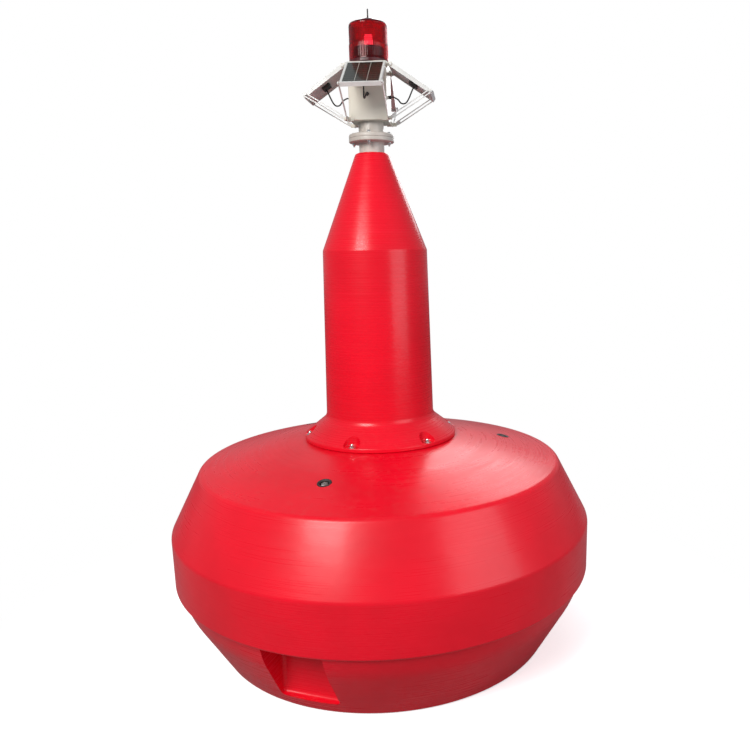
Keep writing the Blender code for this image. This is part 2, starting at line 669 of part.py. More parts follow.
def build_struts(side, azimuth, white):
    """Two flat slotted bars, one beside each edge of a panel."""
    foot = pivot("strut_pivot_" + side, azimuth, STRUT_PIVOT_RADIUS, STRUT_PIVOT_HEIGHT,
                 STRUT_RISE)
    half = STRUT_WIDTH / 2
    end = STRUT_REACH + STRUT_END_MARGIN - half
    outline = arc(0.0, 0.0, STRUT_NOSE_RADIUS, 110.0, 250.0, 6)
    outline += [(0.012, -half)]
    outline += arc(end, 0.0, half, -90.0, 90.0, 6)
    outline += [(0.012, half)]
    slot_half = SLOT_WIDTH / 2
    slot_end = STRUT_REACH + PIN_RADIUS + SLOT_END_PLAY - slot_half
    slot = arc(slot_end, 0.0, slot_half, -90.0, 90.0, 6)
    slot += arc(SLOT_START + slot_half, 0.0, slot_half, 90.0, 270.0, 6)
    for hand, tag in ((-1, "a"), (1, "b")):
        low, high = sorted((hand * STRUT_INNER, hand * STRUT_OUTER))
        name = "strut_%s_%s" % (side, tag)
        bar = new_object(name, prism_mesh(name, outline, low, high), white)
        bar.parent = foot
        slit = new_object("slot_cutter_%s_%s" % (side, tag), prism_mesh(
            "slot_cutter", slot, low - 0.001, high + 0.001), None)
        bore = new_object("pivot_cutter_%s_%s" % (side, tag), rod_mesh(
            "pivot_cutter", PIN_RADIUS + PIN_FIT, low - 0.001, high + 0.001), None)
        for cutter in (slit, bore):
            cutter.parent = foot
            boolean(bar, cutter, "DIFFERENCE")


def smooth_route(points, count):
    """Evenly spaced points on a Catmull-Rom curve through a list of points."""
    padded = [2 * points[0] - points[1]] + points + [2 * points[-1] - points[-2]]
    fine = []
    for a, b, c, d in zip(padded, padded[1:], padded[2:], padded[3:]):
        for step in range(20):
            t = step / 20
            fine.append(0.5 * (2 * b + (c - a) * t + (2 * a - 5 * b + 4 * c - d) * t ** 2
                               + (3 * b - a - 3 * c + d) * t ** 3))
    fine.append(points[-1])
    lengths = [0.0]
    for a, b in zip(fine, fine[1:]):
        lengths.append(lengths[-1] + (b - a).length)
    route = []
    for i in range(count):
        wanted = lengths[-1] * i / (count - 1)
        j = next(n for n in range(1, len(fine)) if lengths[n] >= wanted - 1e-9)
        part = (wanted - lengths[j - 1]) / (lengths[j] - lengths[j - 1])
        route.append(fine[j - 1].lerp(fine[j], part))
    return route


def build_cable(side, azimuth, black):
    """The lead that hangs in a loop from the junction box to a gland on the lantern box."""
    out = outward(azimuth)
    across = Vector((out.y, -out.x, 0.0))
    exit_reach = JUNCTION_DISTANCE + JUNCTION_LENGTH * 0.7
    under = BACK_DEPTH - PANEL_THICKNESS / 2 - SEAT_GAP - JUNCTION_HEIGHT - CABLE_END_GAP

    def below_panel(depth):
        """A point under the junction box's outlet, measured square to the panel."""
        distance = HINGE_RADIUS + exit_reach * math.cos(PANEL_TILT) + depth * math.sin(PANEL_TILT)
        height = HINGE_HEIGHT - exit_reach * math.sin(PANEL_TILT) + depth * math.cos(PANEL_TILT)
        return out * distance + Vector((0.0, 0.0, height))

    gland_face = BOX_WIDTH / 2 + SEAT_GAP + GLAND_LENGTH + CABLE_END_GAP
    knots = [below_panel(under), below_panel(under - 0.008)]
    for distance, height, sideways in CABLE_ROUTE:
        knots.append(out * distance + across * sideways + Vector((0.0, 0.0, height)))
    for distance in (gland_face + 0.008, gland_face):
        knots.append(out * distance + Vector((0.0, 0.0, GLAND_HEIGHT)))

    curve = bpy.data.curves.new("panel_cable_" + side, "CURVE")
    curve.dimensions = "3D"
    curve.bevel_depth = CABLE_RADIUS
    curve.bevel_resolution = 2
    curve.use_fill_caps = True
    spline = curve.splines.new("POLY")
    route = smooth_route(knots, CABLE_POINT_COUNT)
    spline.points.add(len(route) - 1)
    for point, place in zip(spline.points, route):
        point.co = (*place, 1.0)
    curve.materials.append(black)
    cable = bpy.data.objects.new("panel_cable_" + side, curve)
    bpy.context.scene.collection.objects.link(cable)

    face = BOX_WIDTH / 2 + SEAT_GAP
    gland = new_object("cable_gland_" + side, turned_mesh("cable_gland", (
        (0.0, 0.0),
        (GLAND_RADIUS, 0.0),
        (GLAND_RADIUS, GLAND_LENGTH * 0.6),
        (GLAND_RADIUS * 0.7, GLAND_LENGTH),
        (0.0, GLAND_LENGTH),
    ), 12), black)
    gland.location = out * face + Vector((0.0, 0.0, GLAND_HEIGHT))
    gland.rotation_euler = (math.pi / 2, 0.0, math.radians(azimuth))


# ---- the whole buoy ------------------------------------------------------------------

def build():
    """Makes every piece from the ground up."""
    start_empty()
    red = colour("red_moulded_plastic", (0.85, 0.005, 0.02), 0.25)
    steel = colour("galvanised_steel", (0.45, 0.45, 0.45), 0.4, 1.0)
    black = colour("black_plastic", (0.015, 0.015, 0.015), 0.5)
    ivory = colour("ivory_coated_steel", (0.72, 0.69, 0.58), 0.35)
    white = colour("white_coated_aluminium", (0.78, 0.78, 0.76), 0.35)
    glass = colour("solar_glass", (0.02, 0.02, 0.018), 0.1)
    dark = colour("dark_red_plastic", (0.06, 0.005, 0.008), 0.4)
    lens = colour("red_lens", (0.35, 0.004, 0.008), 0.1)
    lamp = colour("lamp_cluster", (0.85, 0.75, 0.75), 0.3)

    shell = build_float(red)
    build_deck_sockets(shell, black, steel)
    build_mooring_eye(steel)
    build_tower(red)
    build_post_and_neck(ivory)
    build_box(ivory)
    build_lantern(lens, dark, lamp, black)
    for side, azimuth in PANEL_SIDES:
        build_panel(side, azimuth, white, glass, black)
        build_struts(side, azimuth, white)
        build_cable(side, azimuth, black)


build()
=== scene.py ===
import math

import bmesh
import bpy
from mathutils import Matrix, Vector


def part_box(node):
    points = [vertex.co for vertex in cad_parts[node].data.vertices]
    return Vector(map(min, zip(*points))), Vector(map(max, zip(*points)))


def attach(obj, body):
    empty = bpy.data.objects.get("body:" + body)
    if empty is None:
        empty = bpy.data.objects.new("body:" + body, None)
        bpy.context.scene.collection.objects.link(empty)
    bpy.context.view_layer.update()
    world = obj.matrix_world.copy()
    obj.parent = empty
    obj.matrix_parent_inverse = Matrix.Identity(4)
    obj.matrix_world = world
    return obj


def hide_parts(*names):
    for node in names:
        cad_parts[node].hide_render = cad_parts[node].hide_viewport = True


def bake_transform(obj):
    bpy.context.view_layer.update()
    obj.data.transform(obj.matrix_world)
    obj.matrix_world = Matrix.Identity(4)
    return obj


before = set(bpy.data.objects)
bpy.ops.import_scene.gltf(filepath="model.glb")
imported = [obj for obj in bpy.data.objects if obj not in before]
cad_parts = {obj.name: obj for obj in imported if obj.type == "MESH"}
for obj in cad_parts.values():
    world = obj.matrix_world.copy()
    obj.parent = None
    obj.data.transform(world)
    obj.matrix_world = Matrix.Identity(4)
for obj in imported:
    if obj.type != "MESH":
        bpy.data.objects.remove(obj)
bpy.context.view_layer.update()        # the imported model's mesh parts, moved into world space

scene = bpy.context.scene

# ---- Camera ------------------------------------------------------------------------
# Eye level is a standing person's chest height, a little to the right of the lantern's
# front panel, tipped down and turned slightly. The buoy sits off-centre by a lens shift.
CAMERA_AZIMUTH = math.radians(8.0)
CAMERA_DISTANCE = 2.5524
CAMERA_HEIGHT = 1.3742
CAMERA_PITCH = 0.1975
CAMERA_YAW = 0.0794
CAMERA_ROLL = -0.0166
CAMERA_LENS = 34.22
CAMERA_SHIFT = (-0.0806, 0.0276)

camera_data = bpy.data.cameras.new("camera")
camera_data.sensor_width = 36.0
camera_data.lens = CAMERA_LENS
camera_data.shift_x = CAMERA_SHIFT[0]
camera_data.shift_y = CAMERA_SHIFT[1]
camera = bpy.data.objects.new("camera", camera_data)
scene.collection.objects.link(camera)
camera.matrix_world = (
    Matrix.Translation((
        math.sin(CAMERA_AZIMUTH) * CAMERA_DISTANCE,
        -math.cos(CAMERA_AZIMUTH) * CAMERA_DISTANCE,
        CAMERA_HEIGHT))
    @ Matrix.Rotation(CAMERA_AZIMUTH - CAMERA_YAW, 4, "Z")
    @ Matrix.Rotation(math.pi / 2 - CAMERA_PITCH, 4, "X")
    @ Matrix.Rotation(CAMERA_ROLL, 4, "Z"))
scene.camera = camera
scene.view_settings.view_transform = "Standard"


# ---- Floor, sky and lamps ----------------------------------------------------------
# A floor that is pale to the camera, keeps the buoy's shadow and fades to the white surround,
# but is grey to bounced and reflected light, a painted shade that darkens the bowl; one large
# soft lamp high on the left, a weaker one on the right and one behind.
def new_material(name):
    """An empty node material with its output, and the tree to build in."""
    made = bpy.data.materials.new(name)
    made.use_nodes = True
    tree = made.node_tree
    tree.nodes.clear()
    out = tree.nodes.new("ShaderNodeOutputMaterial")
    return made, tree, out


def soft_lamp(name, place, target, size, power, tint):
    """A rectangular area lamp aimed at a point; the size is its width and height in metres."""
    lamp_data = bpy.data.lights.new(name, "AREA")
    lamp_data.shape = "RECTANGLE"
    lamp_data.size = size[0]
    lamp_data.size_y = size[1]
    lamp_data.energy = power
    lamp_data.color = tint
    lamp = bpy.data.objects.new(name, lamp_data)
    scene.collection.objects.link(lamp)
    lamp.location = place
    aim = Vector(target) - Vector(place)
    lamp.rotation_euler = aim.to_track_quat("-Z", "Y").to_euler()
    return lamp


FLOOR_HALF = 30.0
FLOOR_DROP = 0.0005
FLOOR_FADE = (0.75, 1.50)      # distance from the axis where the floor starts and ends its fade to white

floor_mesh = bpy.data.meshes.new("floor")
floor_corners = [(x * FLOOR_HALF, y * FLOOR_HALF, 0.0) for x, y in ((-1, -1), (1, -1), (1, 1), (-1, 1))]
floor_mesh.from_pydata(floor_corners, [], [(0, 1, 2, 3)])
floor = bpy.data.objects.new("floor", floor_mesh)
scene.collection.objects.link(floor)
floor.location.z = -FLOOR_DROP

floor_paint, tree, out = new_material("pale_floor")
# Grey to every ray but the camera's: painted shade that darkens the bowl's bounce light and its reflection
# of the floor.
grey_bounce_shade = tree.nodes.new("ShaderNodeBsdfDiffuse")
grey_bounce_shade.inputs["Color"].default_value = (0.30, 0.29, 0.30, 1.0)
pale = tree.nodes.new("ShaderNodeBsdfDiffuse")
pale.inputs["Color"].default_value = (0.95, 0.95, 0.95, 1.0)
glow = tree.nodes.new("ShaderNodeEmission")
glow.inputs["Color"].default_value = (1.0, 1.0, 1.0, 1.0)
glow.inputs["Strength"].default_value = 0.55
both = tree.nodes.new("ShaderNodeAddShader")
white = tree.nodes.new("ShaderNodeEmission")
white.inputs["Color"].default_value = (1.0, 1.0, 1.0, 1.0)
far = tree.nodes.new("ShaderNodeMixShader")
seen = tree.nodes.new("ShaderNodeMixShader")
rays = tree.nodes.new("ShaderNodeLightPath")
spot = tree.nodes.new("ShaderNodeTexCoord")
reach = tree.nodes.new("ShaderNodeVectorMath")
reach.operation = "LENGTH"
fade = tree.nodes.new("ShaderNodeMapRange")
fade.interpolation_type = "SMOOTHSTEP"
fade.inputs["From Min"].default_value = FLOOR_FADE[0]
fade.inputs["From Max"].default_value = FLOOR_FADE[1]
tree.links.new(spot.outputs["Object"], reach.inputs[0])
tree.links.new(reach.outputs["Value"], fade.inputs["Value"])
tree.links.new(pale.outputs[0], both.inputs[0])
tree.links.new(glow.outputs[0], both.inputs[1])
tree.links.new(fade.outputs["Result"], far.inputs[0])
tree.links.new(both.outputs[0], far.inputs[1])
tree.links.new(white.outputs[0], far.inputs[2])
tree.links.new(rays.outputs["Is Camera Ray"], seen.inputs[0])
tree.links.new(grey_bounce_shade.outputs[0], seen.inputs[1])
tree.links.new(far.outputs[0], seen.inputs[2])
tree.links.new(seen.outputs[0], out.inputs["Surface"])
floor_mesh.materials.append(floor_paint)

world = bpy.data.worlds.new("studio")
scene.world = world
world.use_nodes = True
tree = world.node_tree
tree.nodes.clear()
out = tree.nodes.new("ShaderNodeOutputWorld")
ambient = tree.nodes.new("ShaderNodeBackground")
ambient.inputs["Color"].default_value = (0.90, 0.94, 1.0, 1.0)
ambient.inputs["Strength"].default_value = 0.36
plain = tree.nodes.new("ShaderNodeBackground")
plain.inputs["Color"].default_value = (1.0, 1.0, 1.0, 1.0)
plain.inputs["Strength"].default_value = 1.0
pick = tree.nodes.new("ShaderNodeMixShader")
rays = tree.nodes.new("ShaderNodeLightPath")
eye_or_glass = tree.nodes.new("ShaderNodeMath")
eye_or_glass.operation = "MAXIMUM"
tree.links.new(rays.outputs["Is Camera Ray"], eye_or_glass.inputs[0])
tree.links.new(rays.outputs["Is Transmission Ray"], eye_or_glass.inputs[1])
tree.links.new(eye_or_glass.outputs[0], pick.inputs[0])
tree.links.new(ambient.outputs[0], pick.inputs[1])
tree.links.new(plain.outputs[0], pick.inputs[2])
tree.links.new(pick.outputs[0], out.inputs["Surface"])

for lamp_name, place, aim_height, size, watts, tint in (
        ("key", (-1.6, -3.4, 3.4), 0.8, (1.8, 1.8), 150, (1.0, 0.98, 0.95)),
        ("fill", (3.4, -2.2, 2.0), 0.8, (2.5, 2.5), 50, (0.95, 0.97, 1.0)),
        ("behind", (0.5, 3.6, 3.2), 1.0, (3.0, 2.0), 60, (1.0, 1.0, 1.0))):
    soft_lamp(lamp_name, place, (0, 0, aim_height), size, watts, tint)


# ---- Float -------------------------------------------------------------------------
# Rotationally moulded polyethylene in saturated red: a bowl with handling pockets, and
# a belted shell that laps over it. Glossy, with faint orange peel and polishing streaks.
def add_interface(group, inputs, outputs):
    """Names a node group's sockets: (name, kind, default) rows."""
    for name, kind, default in inputs:
        socket = group.interface.new_socket(name=name, in_out="INPUT", socket_type=kind)
        if default is not None:
            socket.default_value = default
    for name, kind in outputs:
        group.interface.new_socket(name=name, in_out="OUTPUT", socket_type=kind)


def noise_node(tree, vector, scale, detail=3.0, rough=0.55):
    """A noise texture on a vector."""
    made = tree.nodes.new("ShaderNodeTexNoise")
    made.inputs["Scale"].default_value = scale
    made.inputs["Detail"].default_value = detail
    made.inputs["Roughness"].default_value = rough
    tree.links.new(vector, made.inputs["Vector"])
    return made.outputs["Fac"]


def stretch(tree, vector, scale):
    """A vector scaled along each axis."""
    made = tree.nodes.new("ShaderNodeMapping")
    made.inputs["Scale"].default_value = scale
    tree.links.new(vector, made.inputs["Vector"])
    return made.outputs["Vector"]


def remap(tree, value, low, high, to_low, to_high):
    """A value moved from one range to another and held inside it."""
    made = tree.nodes.new("ShaderNodeMapRange")
    made.inputs["From Min"].default_value = low
    made.inputs["From Max"].default_value = high
    made.inputs["To Min"].default_value = to_low
    made.inputs["To Max"].default_value = to_high
    tree.links.new(value, made.inputs["Value"])
    return made.outputs["Result"]


def blend_colour(tree, factor, first, second, mode="MIX"):
    """Two colours, sockets or values, mixed by a factor."""
    made = tree.nodes.new("ShaderNodeMix")
    made.data_type = "RGBA"
    made.blend_type = mode
    for socket, item in ((made.inputs[0], factor), (made.inputs[6], first), (made.inputs[7], second)):
        if isinstance(item, bpy.types.NodeSocket):
            tree.links.new(item, socket)
        elif isinstance(item, (int, float)):
            socket.default_value = item
        else:
            socket.default_value = (*item, 1.0)
    return made.outputs[2]


def maths(tree, operation, a, b=0.0):
    """A math node on two values or sockets."""
    made = tree.nodes.new("ShaderNodeMath")
    made.operation = operation
    for socket, item in ((made.inputs[0], a), (made.inputs[1], b)):
        if isinstance(item, bpy.types.NodeSocket):
            tree.links.new(item, socket)
        else:
            socket.default_value = item
    return made.outputs[0]


def moulded_skin_group():
    """Colour, roughness and height of moulded plastic turned round Z: clouds, streaks, peel, dust."""
    group = bpy.data.node_groups.new("moulded_skin", "ShaderNodeTree")
    add_interface(group, (
        ("Colour", "NodeSocketColor", (0.8, 0.01, 0.02, 1.0)),
        ("Deep Colour", "NodeSocketColor", (0.5, 0.01, 0.02, 1.0)),
        ("Dust Colour", "NodeSocketColor", (0.6, 0.3, 0.25, 1.0)),
        ("Streaks", "NodeSocketFloat", 0.5),
        ("Dust", "NodeSocketFloat", 0.3),
        ("Gloss", "NodeSocketFloat", 0.25),
    ), (
        ("Colour", "NodeSocketColor"),
        ("Roughness", "NodeSocketFloat"),
        ("Height", "NodeSocketFloat"),
    ))
    ins = group.nodes.new("NodeGroupInput")
    outs = group.nodes.new("NodeGroupOutput")
    place = group.nodes.new("ShaderNodeTexCoord").outputs["Object"]
    clouds = noise_node(group, place, 2.6, 4.0)
    rings = noise_node(group, stretch(group, place, (1.5, 1.5, 60.0)), 2.0, 4.0, 0.6)
    fine_rings = noise_node(group, stretch(group, place, (4.0, 4.0, 420.0)), 1.0, 2.0)
    peel = noise_node(group, place, 190.0, 2.0)
    swell = noise_node(group, place, 9.0, 2.0)
    grit = noise_node(group, place, 46.0, 5.0, 0.7)

    cloudy = remap(group, clouds, 0.35, 0.7, 0.0, 1.0)
    base = blend_colour(group, cloudy, ins.outputs["Colour"], ins.outputs["Deep Colour"])
    streak = maths(group, "MULTIPLY", remap(group, rings, 0.50, 0.78, 0.0, 0.5), ins.outputs["Streaks"])
    paler = blend_colour(group, 1.0, ins.outputs["Colour"], (1.0, 1.35, 1.35), "MULTIPLY")
    streaked = blend_colour(group, streak, base, paler)

    facing = group.nodes.new("ShaderNodeNewGeometry")
    split = group.nodes.new("ShaderNodeSeparateXYZ")
    group.links.new(facing.outputs["Normal"], split.inputs[0])
    upward = remap(group, split.outputs["Z"], 0.55, 0.95, 0.0, 1.0)
    speckle = remap(group, grit, 0.50, 0.72, 0.0, 1.0)
    dusty = maths(group, "MULTIPLY", maths(group, "MULTIPLY", upward, speckle), ins.outputs["Dust"])
    coloured = blend_colour(group, dusty, streaked, ins.outputs["Dust Colour"])
    group.links.new(coloured, outs.inputs["Colour"])

    rough = maths(group, "ADD", ins.outputs["Gloss"], remap(group, fine_rings, 0.3, 0.7, -0.03, 0.07))
    rough = maths(group, "ADD", rough, remap(group, clouds, 0.3, 0.7, -0.03, 0.06))
    rough = maths(group, "ADD", rough, maths(group, "MULTIPLY", dusty, 0.4))
    group.links.new(rough, outs.inputs["Roughness"])

    height = maths(group, "MULTIPLY", peel, 0.10)
    height = maths(group, "ADD", height, maths(group, "MULTIPLY", swell, 0.9))
    lines = maths(group, "MULTIPLY", fine_rings, ins.outputs["Streaks"])
    height = maths(group, "ADD", height, maths(group, "MULTIPLY", lines, 0.10))
    group.links.new(height, outs.inputs["Height"])
    return group


MOULDED_SKIN = moulded_skin_group()


def red_plastic(name, streaks, dust, gloss, bump):
    """Glossy red moulded plastic."""
    made, tree, out = new_material(name)
    shader = tree.nodes.new("ShaderNodeBsdfPrincipled")
    skin = tree.nodes.new("ShaderNodeGroup")
    skin.node_tree = MOULDED_SKIN
    skin.inputs["Colour"].default_value = (0.90, 0.003, 0.020, 1.0)
    skin.inputs["Deep Colour"].default_value = (0.74, 0.002, 0.015, 1.0)
    skin.inputs["Dust Colour"].default_value = (0.62, 0.10, 0.08, 1.0)
    skin.inputs["Streaks"].default_value = streaks
    skin.inputs["Dust"].default_value = dust
    skin.inputs["Gloss"].default_value = gloss
    lift = tree.nodes.new("ShaderNodeBump")
    lift.inputs["Strength"].default_value = 1.0
    lift.inputs["Distance"].default_value = bump
    tree.links.new(skin.outputs["Colour"], shader.inputs["Base Color"])
    tree.links.new(skin.outputs["Roughness"], shader.inputs["Roughness"])
    tree.links.new(skin.outputs["Height"], lift.inputs["Height"])
    tree.links.new(lift.outputs["Normal"], shader.inputs["Normal"])
    shader.inputs["Specular IOR Level"].default_value = 0.35
    shader.inputs["Coat Weight"].default_value = 0.10
    shader.inputs["Coat Roughness"].default_value = 0.15
    tree.links.new(shader.outputs[0], out.inputs["Surface"])
    return made


def rounded(corners, steps=8):
    """Outline points of (r, z, fillet) corners, each fillet turned into an arc."""
    points = []
    for i, (r, z, fillet) in enumerate(corners):
        here = Vector((r, z))
        if fillet <= 0.0 or i in (0, len(corners) - 1):
            points.append((r, z))
            continue
        before = (Vector(corners[i - 1][:2]) - here).normalized()
        after = (Vector(corners[i + 1][:2]) - here).normalized()
        half = before.angle(after) / 2
        centre = here + (before + after).normalized() * fillet / math.sin(half)
        start = here + before * fillet / math.tan(half) - centre
        end = here + after * fillet / math.tan(half) - centre
        sweep = start.angle_signed(end)
        for step in range(steps + 1):
            a = -sweep * step / steps
            x = start.x * math.cos(a) - start.y * math.sin(a)
            y = start.x * math.sin(a) + start.y * math.cos(a)
            points.append((centre.x + x, centre.y + y))
    return points


def finish_mesh(work, name, material, sharp=35.0):
    """An object round a bmesh, smooth with sharp edges kept."""
    bmesh.ops.recalc_face_normals(work, faces=work.faces)
    mesh = bpy.data.meshes.new(name)
    work.to_mesh(mesh)
    work.free()
    if material is not None:
        mesh.materials.append(material)
    mesh.shade_smooth()
    mesh.set_sharp_from_angle(angle=math.radians(sharp))
    made = bpy.data.objects.new(name, mesh)
    scene.collection.objects.link(made)
    return made


ON_AXIS = 1e-6


def turned_rings(work, profile, steps, closed=False):
    """Rings of faces round Z through (r, z) points; a point on the axis closes them."""
    rings = []
    for r, z in profile:
        if r < ON_AXIS:
            rings.append([work.verts.new((0.0, 0.0, z))])
            continue
        angles = [2 * math.pi * i / steps for i in range(steps)]
        rings.append([work.verts.new((r * math.cos(a), r * math.sin(a), z)) for a in angles])
    pairs = list(zip(rings[:-1], rings[1:]))
    if closed:
        pairs.append((rings[-1], rings[0]))
    for lower, upper in pairs:
        for i in range(steps):
            j = (i + 1) % steps
            corners = [lower[i % len(lower)], lower[j % len(lower)],
                       upper[j % len(upper)], upper[i % len(upper)]]
            work.faces.new(list(dict.fromkeys(corners)))
    return rings


def turned(name, profile, steps, material, closed=False, sharp=35.0):
    """A turned piece; a closed profile makes a ring with its own bore."""
    work = bmesh.new()
    turned_rings(work, profile, steps, closed)
    return finish_mesh(work, name, material, sharp)


CUT_SHARP = 32


def cut_away(target, cutters):
    """Cuts closed pieces out of a target and removes them."""
    for cutter in cutters:
        modifier = target.modifiers.new("cut", "BOOLEAN")
        modifier.operation = "DIFFERENCE"
        modifier.solver = "EXACT"
        modifier.object = cutter
    evaluated = target.evaluated_get(bpy.context.evaluated_depsgraph_get())
    fresh = bpy.data.meshes.new_from_object(evaluated)
    target.modifiers.clear()
    fresh.shade_smooth()
    fresh.set_sharp_from_angle(angle=math.radians(CUT_SHARP))
    target.data = fresh
    for cutter in cutters:
        bpy.data.objects.remove(cutter, do_unlink=True)
    return target


def outward(azimuth):
    """Level unit vector at an azimuth in degrees: 0 faces -Y, 90 faces +X."""
    a = math.radians(azimuth)
    return Vector((math.sin(a), -math.cos(a), 0.0))


bowl_low, bowl_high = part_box("float_lower")
shell_low, shell_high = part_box("float_upper")
tower_low, tower_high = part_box("tower")
FEATURE_AZIMUTH = -14.5
BASE_RADIUS = 0.6047
BELT_RADIUS = shell_high.x
SEAM = bowl_high.z
BOWL_TOP_RADIUS = bowl_high.x
FLOAT_STEPS = 216
BASE_LIFT = 0.0002             # keeps the base just clear of the floor
RECESS_RADIUS = 0.1300         # the mooring recess in the base
RECESS_DEPTH = 0.1100
BOWL_BREAK = (0.7162, 0.1985)  # where the bowl turns from its lower to its upper slope
BOWL_BREAK_FILLET = 0.30
POCKET_WALL = 0.6064           # the pocket's back wall from the buoy's axis
POCKET_HALF = 0.0995
POCKET_FLOOR = 0.0462
POCKET_REACH = 0.25            # the pocket's cutter runs out past the belt and up past the seam
POCKET_HEIGHT = 0.30
POCKET_CORNER = 0.014

float_red = red_plastic("float_red", 0.35, 0.15, 0.27, 0.0010)
bowl = turned("bowl", rounded((
    (0.0, RECESS_DEPTH, 0.0),
    (RECESS_RADIUS, RECESS_DEPTH, 0.012),
    (RECESS_RADIUS, BASE_LIFT, 0.006),
    (BASE_RADIUS, BASE_LIFT, 0.014),
    (*BOWL_BREAK, BOWL_BREAK_FILLET),
    (BOWL_TOP_RADIUS, SEAM, 0.0),
    (0.0, SEAM, 0.0),
)), FLOAT_STEPS, float_red)
pocket_cutters = []
for k in range(3):
    work = bmesh.new()
    bmesh.ops.create_cube(work, size=1.0)
    for vertex in work.verts:
        vertex.co.x *= 2 * POCKET_HALF
        vertex.co.y = POCKET_WALL + (vertex.co.y + 0.5) * POCKET_REACH
        vertex.co.z = POCKET_FLOOR + (vertex.co.z + 0.5) * POCKET_HEIGHT
    bmesh.ops.bevel(work, geom=work.edges[:], offset=POCKET_CORNER, segments=5, profile=0.5,
                    affect="EDGES")
    cutter = finish_mesh(work, "pocket_cutter", None)
    cutter.rotation_euler.z = math.radians(180 + FEATURE_AZIMUTH + 120 * k)
    pocket_cutters.append(cutter)
bpy.context.view_layer.update()
cut_away(bowl, pocket_cutters)
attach(bowl, "root")
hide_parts("float_lower")

SHELL_FOOT = SEAM + 0.0004
BELT_LIP = 0.0120              # how far the shell laps out over the bowl
BELT_TOP = 0.4370
SHOULDER = (0.6440, 0.6418)
DECK_CREASE = (0.4200, 0.6975)
TOWER_SEAT = (0.2650, 0.7275)  # the flat raised middle that the tower stands on

shell = turned("shell", rounded((
    (0.0, SHELL_FOOT, 0.0),
    (BELT_RADIUS - BELT_LIP, SHELL_FOOT, 0.0),
    (BELT_RADIUS, SHELL_FOOT, 0.0095),
    (BELT_RADIUS, BELT_TOP, 0.032),
    (*SHOULDER, 0.026),
    (*DECK_CREASE, 0.080),
    (*TOWER_SEAT, 0.0),
    (0.0, TOWER_SEAT[1], 0.0),
), 10), FLOAT_STEPS, float_red)


# ---- Deck sockets ------------------------------------------------------------------
# Three black threaded rings let into the deck square to its slope, for lifting eyes.
# Each is stopped with a grey hexagon plug, dulled by weather.
def plain_finish(name, colour, second, rough, rough_spread, metallic=0.0, grain=60.0, bump=0.0002,
                 coat=0.0):
    """A cloudy two-colour finish with uneven gloss and fine relief."""
    made, tree, out = new_material(name)
    shader = tree.nodes.new("ShaderNodeBsdfPrincipled")
    place = tree.nodes.new("ShaderNodeTexCoord").outputs["Object"]
    cloud = noise_node(tree, place, grain * 0.3, 4.0, 0.6)
    fine = noise_node(tree, place, grain * 6.0, 3.0)
    mixed = blend_colour(tree, remap(tree, cloud, 0.38, 0.68, 0.0, 1.0), colour, second)
    tree.links.new(mixed, shader.inputs["Base Color"])
    tree.links.new(remap(tree, fine, 0.3, 0.7, rough - rough_spread, rough + rough_spread),
                   shader.inputs["Roughness"])
    lift = tree.nodes.new("ShaderNodeBump")
    lift.inputs["Strength"].default_value = 0.6
    lift.inputs["Distance"].default_value = bump
    tree.links.new(fine, lift.inputs["Height"])
    tree.links.new(lift.outputs["Normal"], shader.inputs["Normal"])
    shader.inputs["Metallic"].default_value = metallic
    shader.inputs["Coat Weight"].default_value = coat
    tree.links.new(shader.outputs[0], out.inputs["Surface"])
    return made


def placed(piece, where, turn):
    """Puts a piece at a place with a rotation."""
    piece.location = where
    piece.rotation_euler = turn
    return piece


black_rubber = plain_finish("black_rubber", (0.018, 0.018, 0.018), (0.05, 0.045, 0.04), 0.55, 0.12,
                            grain=90)
dull_zinc = plain_finish("dull_zinc", (0.42, 0.42, 0.41), (0.28, 0.25, 0.22), 0.42, 0.14,
                         metallic=0.9, grain=120)
SOCKET_DISTANCE = 0.4670       # from the buoy's axis, along the level
SOCKET_DEPTH = 0.0120
SOCKET_HOLE = 0.0236
RING_FOOT = -0.0116            # the ring's and the plug's foot, just off the hole's floor
RING_RADIUS = 0.0229
RING_BORE = 0.0150
RING_TOP = 0.0015
PLUG_CORNER = 0.0124
deck_slope = math.atan2(DECK_CREASE[1] - SHOULDER[1], SHOULDER[0] - DECK_CREASE[0])
socket_height = DECK_CREASE[1] - math.tan(deck_slope) * (SOCKET_DISTANCE - DECK_CREASE[0])
socket_cutters = []
for k in range(3):
    azimuth = FEATURE_AZIMUTH + 120 * k
    where = outward(azimuth) * SOCKET_DISTANCE + Vector((0, 0, socket_height))
    turn = (-deck_slope, 0.0, math.radians(180 + azimuth))
    hole = turned("hole", ((0.0, -SOCKET_DEPTH), (SOCKET_HOLE, -SOCKET_DEPTH), (SOCKET_HOLE, 0.0),
                           (0.0270, 0.012), (0.0, 0.012)), 48, None)
    socket_cutters.append(placed(hole, where, turn))
    ring = turned("socket_ring_%d" % (k + 1), rounded((
        (RING_BORE, RING_FOOT, 0.0),
        (RING_RADIUS, RING_FOOT, 0.0),
        (RING_RADIUS, RING_TOP, 0.0012),
        (0.0190, RING_TOP, 0.0008),
        (0.0165, 0.0004, 0.0006),
        (RING_BORE, -0.0010, 0.0),
    )), 64, black_rubber, closed=True)
    placed(ring, where, turn)
    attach(ring, "root")
    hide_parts("deck_socket_%d" % (k + 1))
    plug = turned("hex_plug_%d" % (k + 1), (
        (0.0, RING_FOOT),
        (PLUG_CORNER, RING_FOOT),
        (PLUG_CORNER, -0.0035),
        (0.0106, -0.0024),
        (0.0060, -0.0024),
        (0.0055, -0.0030),
        (0.0, -0.0030),
    ), 6, dull_zinc, sharp=20)
    placed(plug, where, turn)
    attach(plug, "root")
    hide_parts("socket_plug_%d" % (k + 1))
bpy.context.view_layer.update()
cut_away(shell, socket_cutters)
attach(shell, "root")
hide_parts("float_upper")

